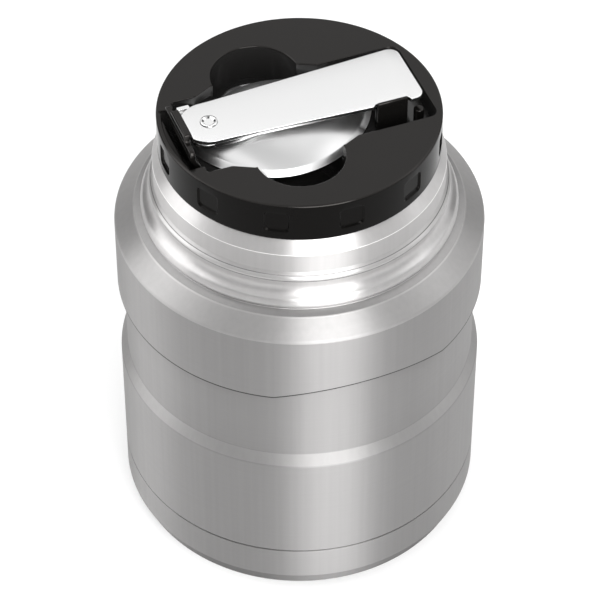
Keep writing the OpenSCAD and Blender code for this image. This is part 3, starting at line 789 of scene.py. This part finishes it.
def make_cap():
    """Loops round the jar's axis, from the underside out, up the side, over the plate and down into the recess.

    Inside the recess each scoop is a round well: a loop point lies where its ray crosses a circle about
    the scoop's centre, and its height is the well's height at that distance from the centre.
    """
    angle = cap_columns()
    way = np.stack([np.cos(angle), np.sin(angle)], 1)
    rows = []

    def row(radius, height):
        flat = way * (np.zeros(len(angle)) + radius)[:, None]
        rows.append(np.column_stack([flat, np.zeros(len(angle)) + height]))

    row(0, underside_z)
    row(underside_r, underside_z)
    row(underside_r, cap_z)

    # Side, with its grip pockets, and the rounded edge of the plate
    row(cap_r - foot_edge, cap_z)
    row(cap_r - foot_edge / 4, cap_z + foot_edge / 4)
    row(cap_r, cap_z + foot_edge)
    row(cap_r, cap_z + foot_edge + 0.15)
    for height in np.concatenate([pocket_steps, pocket_h - pocket_steps[::-1]]):
        row(pocket_radius(angle, height), pocket_z + height)
    row(cap_r, plate_z - cap_edge - 0.15)
    for turn in np.linspace(0, math.pi / 2, 6):
        row(cap_r - cap_edge * (1 - math.cos(turn)), plate_z - cap_edge * (1 - math.sin(turn)))
    row(cap_r - cap_edge - 0.15, plate_z)

    # Wall round the recess with its scoops, or round the latch's pocket, and the lower plate behind that pocket
    across = np.abs(way[:, 1])
    back = -way[:, 0]
    line = recess_line()
    plain = reach_along(line, angle)
    off = np.abs(np.abs(np.mod(angle + math.pi, TURN) - math.pi) - scoop_angle)
    sideways = scoop_distance * np.sin(np.minimum(off, math.pi / 2))
    edge_off = np.minimum(off, scoop_half_angle)
    nearest = scoop_distance * np.cos(edge_off)

    def crossing(circle_r, side):
        inside = np.maximum(circle_r ** 2 - (scoop_distance * np.sin(edge_off)) ** 2, 0)
        return nearest + side * np.sqrt(inside) * (sideways < circle_r)

    outline = np.maximum(plain, crossing(scoop_r, 1))
    with np.errstate(divide="ignore"):
        far_wall = latch_wall_x / np.maximum(back, tiny)
        wall = np.minimum(far_wall, latch_side_y / np.maximum(across, tiny))
        inner = recess_left / np.maximum(back, tiny)
    in_pocket = (back > 0) & (wall > inner - tiny)
    outer = np.where(in_pocket, wall, outline)
    in_segment = (back > 0) & (far_wall < rim_inner_r - tiny)
    low_plate = np.where(in_segment, plate_z - segment_depth, plate_z)
    rim = np.where(in_segment, rim_inner_r, (cap_r - cap_edge) * 0.4 + outer * 0.6)
    row(rim + 0.2, plate_z)
    row(rim, np.where(in_segment, plate_z - 0.2, plate_z))
    row(rim, low_plate)
    normal = outline_normals(way * outer[:, None])
    lip_reach = recess_lip / np.clip((way * normal).sum(1), 0.5, 1)
    row(outer + lip_reach + 0.15, low_plate)
    for turn in np.linspace(0, math.pi / 2, 5):
        row(outer + lip_reach * (1 - math.sin(turn)), low_plate - recess_lip * (1 - math.cos(turn)))
    foot = np.where(in_pocket, latch_floor_z, recess_z)
    row(outer, foot)
    row(np.where(in_pocket, inner, outer), foot)
    row(np.where(in_pocket, inner, outer), recess_z)

    # Floor of the recess, and the two finger scoops in it: over the far side and back over the near side
    cove = np.linspace(0, math.pi / 2, 7)
    circles = np.concatenate([[scoop_r], scoop_r - scoop_cove * (1 - np.cos(cove))])
    heights = np.concatenate([[recess_z], scoop_z + scoop_cove * (1 - np.sin(cove))])

    def well_height(circle_r, height):
        reach = np.maximum(sideways, circle_r)
        fall = np.clip((scoop_r - reach) / scoop_cove, 0, 1)
        cove_z = scoop_z + scoop_cove * (1 - np.sqrt(1 - (1 - fall) ** 2))
        return np.where(sideways < circle_r, height, np.where(sideways < scoop_r, cove_z, recess_z))

    for side, order in ((1, range(len(circles))), (-1, reversed(range(len(circles))))):
        for k in order:
            row(crossing(circles[k], side), well_height(circles[k], heights[k]))
    row(0, recess_z)
    points = np.stack(rows)
    faces = grid_faces(len(rows), len(angle), False, True)
    return make_piece("stopper_cap_black", points.reshape(-1, 3), faces, 40)


# Spoon, with the clip and the post that hold its handle: rivet, handle, tang, clip, ear and post
rivet_x = -23.6
rivet_head_r = 2.2
rivet_shank_r = 1.5
rivet_foot_r = 2.15
rivet_foot_t = 0.6
handle_r = 7.2
handle_end_x = rivet_x + 53
handle_end_half = 9.8
tip_cut = 5.62
tang_t = 1.15
tang_z = node_box("spoon_bowl")[1][2] - tang_t
handle_z = node_box("spoon_handle")[0][2]
handle_top_z = node_box("spoon_handle")[1][2]
rim_z = node_box("spoon_bowl")[0][2]
clip_x = 16.914
clip_l = 8
clip_y = -9.6
clip_t = 2
clip_lip_t = 0.75
clip_rise = 3.8
notch_gap = 0.3
notch_lead = 2
notch_corner = 0.3
plate_edge = 0.12
ear_x = -28.9
ear_w = 3.2
ear_half = 9.1
ear_inner_y = 7.8
web_inner_y = 3
post_x = 28
post_y = -9.2
post_r = 1.3
post_drop = 0.9
root_depth = 0.2


def make_handle():
    """Round hinged end with a flat tip, straight tapering sides, and the notch that the clip holds."""
    tip = math.acos(tip_cut / handle_r)
    bend = np.linspace(math.pi - tip, math.pi / 2 + 0.055, 12)
    arc = np.stack([rivet_x + handle_r * np.cos(bend), handle_r * np.sin(bend)], 1)
    end = rounded_line([
        (rivet_x + 2.4, handle_r, 0),
        (handle_end_x - 3.4, handle_end_half, 2.4),
        (handle_end_x, handle_end_half, 2.6),
        (handle_end_x, 0, 0),
    ])
    far_half = np.concatenate([arc, end])
    near_half = far_half[::-1][1:] * (1, -1)
    notch_y = clip_y + clip_lip_t + notch_gap
    left, right = clip_x - notch_gap, clip_x + clip_l + notch_gap
    notch = rounded_line([
        (right + notch_lead, -handle_end_half + 0.09, 0),
        (right + 0.5, -handle_end_half + 0.05, notch_corner),
        (right, notch_y, notch_corner),
        (left, notch_y, notch_corner),
        (left - 0.5, -handle_end_half + 0.6, notch_corner),
        (left - notch_lead, -handle_end_half + 0.7, 0),
    ])
    before = near_half[near_half[:, 0] > right + notch_lead]
    after = near_half[near_half[:, 0] < left - notch_lead]
    outline = np.concatenate([far_half, before, notch, after])[::-1]
    return make_plate("spoon_handle_steel", outline, handle_z, handle_top_z, plate_edge)


# Bowl, which lies with its hollow side down: outline, dome, flange, and the roll along the flange's edge
bowl_l = 47.5
bowl_gap = 0.3
heel_share = 0.474
bowl_x = -recess_left + bowl_gap + bowl_l * heel_share
bowl_half = 17.7
bowl_h = 5.9
bowl_power = 1.45
dome_power = 2.4
heel_flatness = 4.0
bowl_wall = 0.9
flange_w = 1.3
flange_h = 1.75
roll_h = 1.62
roll_section = np.array([
    (-0.9, -0.15), (-0.25, -1.2), (0, -1.42), (-0.1, -1.6), (-0.55, -1.6), (-0.8, -1.4), (-1.35, -0.75),
])


def bowl_outline(turn):
    """Egg outline: the heel and the front have their own lengths, and the width follows a power of the sine."""
    reach = np.where(np.cos(turn) < 0, bowl_l * heel_share, bowl_l * (1 - heel_share))
    width = np.sign(np.sin(turn)) * np.abs(np.sin(turn)) ** bowl_power
    return reach * np.cos(turn), bowl_half * width


def make_bowl():
    """Dome over the outline, whose height falls with a power of the share of the outline, a higher one towards
    the heel, which runs on into the tang; a sloping flange down to a rolled edge, whose section gives millimetres
    outside the outline and under the roll's height; the inner dome."""
    turn = np.linspace(0, TURN, bowl_steps + 1)[:-1]
    x, y = bowl_outline(turn)
    power = dome_power + heel_flatness * np.clip(-np.cos(turn), 0, 1) ** 2
    steps = np.sin(np.linspace(0, math.pi / 2, dome_rows))
    share = steps * (1 - flange_w / bowl_half)
    dome = rim_z + flange_h + (bowl_h - flange_h) * (1 - steps[:, None] ** power)
    rolled = rim_z + roll_h + roll_section[:, 1:] + 0 * x
    reach = np.concatenate([share, 1 + roll_section[:, 0] / bowl_half, share[::-1] * (1 - bowl_wall / bowl_half)])
    height = np.concatenate([dome, rolled, dome[::-1] - bowl_wall])
    points = np.stack([bowl_x + reach[:, None] * x, reach[:, None] * y, height], -1)
    faces = grid_faces(len(reach), len(turn), False, True)
    return make_piece("spoon_bowl_steel", points.reshape(-1, 3), faces, 50)


def make_tang():
    """Flat tongue of the spoon under the handle, with the ear beside the latch."""
    tang_r = handle_r - 0.25
    half = rounded_line([
        (rivet_x - tip_cut, 0, 0),
        (rivet_x - tip_cut, tang_r, tang_r - tip_cut / 2),
        (rivet_x + tip_cut, tang_r, tip_cut / 2),
        (-2, 5.2, 2.6),
        (0.6, 0, 0),
    ])
    return make_plate("spoon_tang_steel", mirrored(half)[::-1], tang_z, tang_z + tang_t, plate_edge)


def make_ear():
    """Square corner of the tang's far side, which stops against the latch's pocket, and the low web that bears it.
    Both are rectangles across the tang whose far corners are rounded."""
    right = ear_x + ear_w

    def outline(low, high, radius):
        return rounded_line([
            (ear_x, low, 0), (right, low, 0), (right, high, radius), (ear_x, high, radius), (ear_x, low + 0.01, 0),
        ])[:-1]

    tab = outline(ear_inner_y, ear_half, 0.3)
    web = outline(web_inner_y, ear_half - 0.3, 0.4)
    return (
        make_plate("spoon_ear_steel", tab, tang_z + 0.3, tang_z + tang_t, plate_edge),
        make_plate("spoon_web_steel", web, tang_z, tang_z + 0.5, 0.15),
    )


def make_rivet():
    """Domed head with a dimple, a shank and a spread foot, turned about the rivet's own axis."""
    head_z = handle_top_z + 0.05
    line = rounded_line([
        (0, head_z - 0.5, 0),
        (0.8, head_z - 0.35, 0.8),
        (1.7, head_z + 0.36, 0.12),
        (rivet_head_r - 0.1, head_z + 0.28, 0.15),
        (rivet_head_r, head_z, 0),
        (rivet_shank_r, head_z, 0),
        (rivet_shank_r, tang_z, 0),
        (rivet_foot_r, tang_z, 0),
        (rivet_foot_r, tang_z - rivet_foot_t, 0),
        (0, tang_z - rivet_foot_t, 0),
    ])
    return turned_at("spoon_rivet_steel", line, rivet_x, 0)


def make_clip():
    """Upright block with a thinner lip, whose top edge stands beside the handle; it grows from the recess floor."""
    top = plate_z + clip_rise
    section = rounded_line([
        (clip_y, recess_z - root_depth, 0),
        (clip_y + clip_t, recess_z - root_depth, 0),
        (clip_y + clip_t, handle_z - 0.7, 0.2),
        (clip_y + clip_lip_t, handle_z - 0.05, 0.2),
        (clip_y + clip_lip_t, top, 0.25),
        (clip_y, top, 0.35),
        (clip_y, recess_z - root_depth / 2, 0),
    ])
    return make_plate("spoon_clip_black", section[:-1], clip_x, clip_x + clip_l, 0.3, 3, along_x=True)


# Latch: places and half widths in millimetres
latch_x = -29.65
latch_half_t = 0.65
latch_lean = 1.4
latch_foot_half = 10.9
latch_flap_half = 9.6
latch_nose_half = 4.9
latch_corner = 0.3
wing_edge = 0.15


def make_latch():
    """Level rounded rectangles stacked up the latch: their half width follows the front outline (w, z) and
    their depth the side profile, from the round foot through the leaning flap to the nose."""
    foot_z, shoulder_z, wing_z, top_z = latch_floor_z + 0.95, plate_z - 1.6, plate_z + 3.3, plate_z + 5.2
    front = rounded_line([
        (latch_foot_half, foot_z, 0),
        (latch_foot_half, shoulder_z - 1.3, 0.5),
        (latch_flap_half, shoulder_z, 0.5),
        (latch_flap_half, wing_z, 1.3),
        (latch_nose_half + 0.5, wing_z, 0.5),
        (latch_nose_half, top_z, 0.5),
        (0, top_z, 0),
    ], 8)
    run = np.concatenate([[0], np.cumsum(np.hypot(*np.diff(front, axis=0).T))])
    way = np.unique(np.concatenate([run, np.linspace(0, run[-1], 60)]))
    width, height = np.interp(way, run, front[:, 0]), np.interp(way, run, front[:, 1])

    # Side profile, as pairs of height and X
    outer_x, inner_x = latch_x - latch_half_t, latch_x + latch_half_t
    lean_z = plate_z + 0.7
    outer = rounded_line([
        (foot_z, outer_x, 0),
        (shoulder_z, outer_x, 1.2),
        (lean_z, outer_x - latch_lean, 1.2),
        (top_z, outer_x - latch_lean, 0.5),
        (top_z, outer_x - 0.7, 0),
    ])
    inner = rounded_line([
        (foot_z, inner_x, 0),
        (shoulder_z, inner_x, 1.2),
        (lean_z, inner_x - latch_lean, 1.2),
        (top_z - 1.5, inner_x - latch_lean, 0.6),
        (top_z - 0.75, inner_x - 0.56, 0.25),
        (top_z - 0.2, inner_x - 0.7, 0.1),
        (top_z, inner_x - 1, 0),
    ])
    low_x = np.interp(height, outer[:, 0], outer[:, 1])
    high_x = np.interp(height, inner[:, 0], inner[:, 1])
    near_top = np.clip(1 - np.abs(height - wing_z) / wing_edge, 0, 1) * (width > latch_nose_half + 0.3)
    soft = wing_edge * (1 - np.sqrt(1 - near_top ** 2))
    low_x, high_x = low_x + soft, high_x - soft

    # Half round under the foot
    foot = np.linspace(-math.pi / 2, 0, 8)[:-1]
    low_x = np.concatenate([latch_x - latch_half_t * np.cos(foot), low_x])
    high_x = np.concatenate([latch_x + latch_half_t * np.cos(foot), high_x])
    height = np.concatenate([foot_z + latch_half_t * np.sin(foot), height])
    width = np.concatenate([latch_foot_half + 0 * foot, width])

    # Rectangles with quarter round corners
    turn = np.linspace(0, math.pi / 2, 5)
    corner = np.minimum(latch_corner, np.minimum(width, (high_x - low_x) / 2))[:, None]
    quarter_x = (high_x[:, None] - corner) + corner * np.cos(turn)
    quarter_y = (width[:, None] - corner) + corner * np.sin(turn)
    mirror_x = (low_x + high_x)[:, None] - quarter_x[:, ::-1]
    x = np.concatenate([quarter_x, mirror_x, mirror_x[:, ::-1], quarter_x[:, ::-1]], 1)
    y = np.concatenate([quarter_y, quarter_y[:, ::-1], -quarter_y, -quarter_y[:, ::-1]], 1)
    points = np.stack([x, y, height[:, None] + 0 * x], -1)
    faces = grid_faces(len(height), x.shape[1], False, True)
    return make_piece("spoon_latch_black", points.reshape(-1, 3), faces, 40)


def shade_recess(piece):
    """The recess with its wells takes a lighter, more reflective copy of the plate's plastic as painted light, and the
    cap's side a darker, less reflective copy as painted shade.
    """
    x, y, z = face_places(piece)
    at_side = np.hypot(x, y) > cap_r - 1.2
    shade_faces(
        piece,
        (painted_light_recess_plastic, ~at_side & (z < plate_z - 0.35) & (x > -latch_wall_x)),
        (painted_shade_side_plastic, at_side & (z < plate_z - 0.3)),
    )


def make_post():
    """Round post on the recess floor, under the handle's free end."""
    foot_z, top_z = recess_z - root_depth, plate_z - post_drop
    line = rounded_line([(0, top_z, 0), (post_r, top_z, 0.35), (post_r, foot_z, 0), (0, foot_z, 0)])
    return turned_at("handle_post_black", line, post_x, post_y, 48)


# The pieces, each with its material, its body and the CAD node that it replaces
shade_foot(dress(make_base_cup(), satin_steel, "satin_steel", "jar", "base_cup"))
shade_seam(dress(make_body_shell(), satin_steel, "satin_steel", "jar", "body_shell"))
shade_shoulder(dress(make_shoulder_shell(), satin_steel, "shoulder_steel", "jar", "shoulder_shell"))

dress_node("vacuum_bottom", mill_steel)
dress_node("seal_bead", solder)
dress(make_liner(), liner_steel, "liner_steel", "jar", "inner_liner")
dress(make_liner_bottom(), liner_steel, "liner_steel", "jar", "liner_bottom")
mouth_thread = make_thread("mouth_thread_steel", mouth_r, mouth_thread_rise, mouth_thread_z, 0.0)
dress(mouth_thread, liner_steel, "liner_steel", "jar")
dress_node("radiation_foil", copper_foil)
dress_node("getter", getter_grey)
shade_recess(dress(make_cap(), black_plastic, "black_plastic", "stopper", "stopper_cap"))
dress(make_clip(), black_plastic, "black_plastic", "stopper")
dress(make_post(), black_plastic, "black_plastic", "stopper")
dress(make_plug(), plug_plastic, "dark_plastic", "stopper", "stopper_plug")
plug_thread = make_thread("plug_thread_black", plug_r, plug_thread_rise, plug_thread_z, TURN / 2)
dress(plug_thread, plug_plastic, "dark_plastic", "stopper")
dress(make_foam(), white_foam, "foam", "stopper_core", "plug_foam")
dress(make_seal(), seal_silicone, "silicone", "stopper_core", "stopper_seal")
dress(make_latch(), black_plastic, "latch_plastic", "latch", "spoon_latch")
dress(make_bowl(), bowl_steel, "spoon_steel", "spoon", "spoon_bowl")
# Tang in painted shade
dress(make_tang(), painted_shade_tang_steel, "spoon_steel", "spoon")
# Ear in polished steel, and its web in painted shade
for part, steel in zip(make_ear(), (polished_steel, painted_shade_web_steel)):
    dress(part, steel, "spoon_steel", "spoon")
dress(make_rivet(), rivet_steel, "rivet_steel", "spoon", "spoon_rivet")
dress(make_handle(), handle_steel, "handle_steel", "handle", "spoon_handle")


# Studio: lengths in metres. Each softbox has its azimuth to the right of the camera and its elevation in degrees,
# its distance, its width and height, and its brightness
lamp_aim_z = 0.06
softboxes = {
    "key_box": (18, 28, 2.0, 1.3, 2.0, 5.9),
    "left_box": (-94, 28, 2.0, 1.3, 2.0, 2.3),
    "right_box": (105, 28, 2.0, 1.4, 2.0, 0.85),
    "back_box": (180, 47, 2.0, 2.4, 1.3, 0.93),
    "top_box": (0, 89, 2.0, 1.5, 1.5, 0.75),
    "horizon_box": (180, 14, 2.2, 3.0, 0.7, 0.35),
    "horizon_left_box": (-42, 9, 2.2, 1.9, 0.6, 0.5),
    "horizon_right_box": (68, 12, 2.2, 1.9, 0.8, 0.25),
    "crown_left_box": (-42, 50, 2.0, 2.0, 1.2, 1.25),
    "crown_right_box": (68, 43, 2.0, 2.0, 1.5, 0.95),
    "crown_far_right_box": (125, 55, 2.0, 1.6, 1.4, 0.8),
    "crown_far_left_box": (-125, 55, 2.0, 1.6, 1.4, 0.95),
}


def make_softbox(name, azimuth, elevation, distance, width, height, brightness):
    """Area lamp that faces the jar; seen in a mirror it is as bright as its brightness, where 1 is white."""
    data = bpy.data.lights.new(name, "AREA")
    data.shape = "RECTANGLE"
    data.size = width
    data.size_y = height
    data.energy = brightness * math.pi * width * height
    lamp = bpy.data.objects.new(name, data)
    a, e = math.radians(azimuth) - camera_azimuth, math.radians(elevation)
    lamp.location = (
        distance * math.sin(a) * math.cos(e),
        -distance * math.cos(a) * math.cos(e),
        distance * math.sin(e) + lamp_aim_z,
    )
    lamp.rotation_euler = (math.pi / 2 - e, 0, a)
    bpy.context.scene.collection.objects.link(lamp)


# Floor and room: how far the floor goes, where its glow starts and stops growing, and how bright they are
floor_half = 12.0
near_floor = 0.6
far_floor = 2.0
near_glow = 0.38
far_glow = 1.0
room_brightness = 0.06


def make_floor():
    """A wide flat floor that the camera and the steel see as white, with the jar's shadow kept. Its glow grows
    with the distance from the jar, where the lamps don't reach."""
    signs = ((-1, -1), (1, -1), (1, 1), (-1, 1))
    corners = [(x * floor_half, y * floor_half, 0) for x, y in signs]
    mesh = bpy.data.meshes.new("studio_floor")
    mesh.from_pydata(corners, [], [(0, 1, 2, 3)])
    floor = bpy.data.objects.new("studio_floor", mesh)
    bpy.context.scene.collection.objects.link(floor)
    material, tree, shader = new_material("studio_floor", Roughness=0.9, Base_Color=grey(0.6))
    shader.inputs["Specular IOR Level"].default_value = 0.0
    nodes, links = tree.nodes, tree.links
    path = nodes.new("ShaderNodeLightPath")
    seen = path.outputs["Is Camera Ray"]
    for ray in ("Is Glossy Ray", "Is Transmission Ray"):
        either = nodes.new("ShaderNodeMath")
        either.operation = "MAXIMUM"
        links.new(seen, either.inputs[0])
        links.new(path.outputs[ray], either.inputs[1])
        seen = either.outputs[0]
    place = nodes.new("ShaderNodeTexCoord")
    distance = nodes.new("ShaderNodeVectorMath")
    distance.operation = "LENGTH"
    links.new(place.outputs["Object"], distance.inputs[0])
    glow = map_range(tree, distance.outputs["Value"], near_glow, far_glow)
    glow.inputs["From Min"].default_value = near_floor
    glow.inputs["From Max"].default_value = far_floor
    lift = nodes.new("ShaderNodeMath")
    lift.operation = "MULTIPLY"
    links.new(seen, lift.inputs[0])
    links.new(glow.outputs["Result"], lift.inputs[1])
    shader.inputs["Emission Color"].default_value = grey(1.0)
    links.new(lift.outputs[0], shader.inputs["Emission Strength"])
    mesh.materials.append(material)


def make_world():
    """An even grey room."""
    world = bpy.data.worlds.new("studio_room")
    bpy.context.scene.world = world
    world.use_nodes = True
    background = world.node_tree.nodes["Background"]
    background.inputs["Color"].default_value = grey(1.0)
    background.inputs["Strength"].default_value = room_brightness


make_camera()
make_floor()
make_world()
for lamp_name, lamp_values in softboxes.items():
    make_softbox(lamp_name, *lamp_values)
bpy.context.scene.view_settings.view_transform = "Standard"
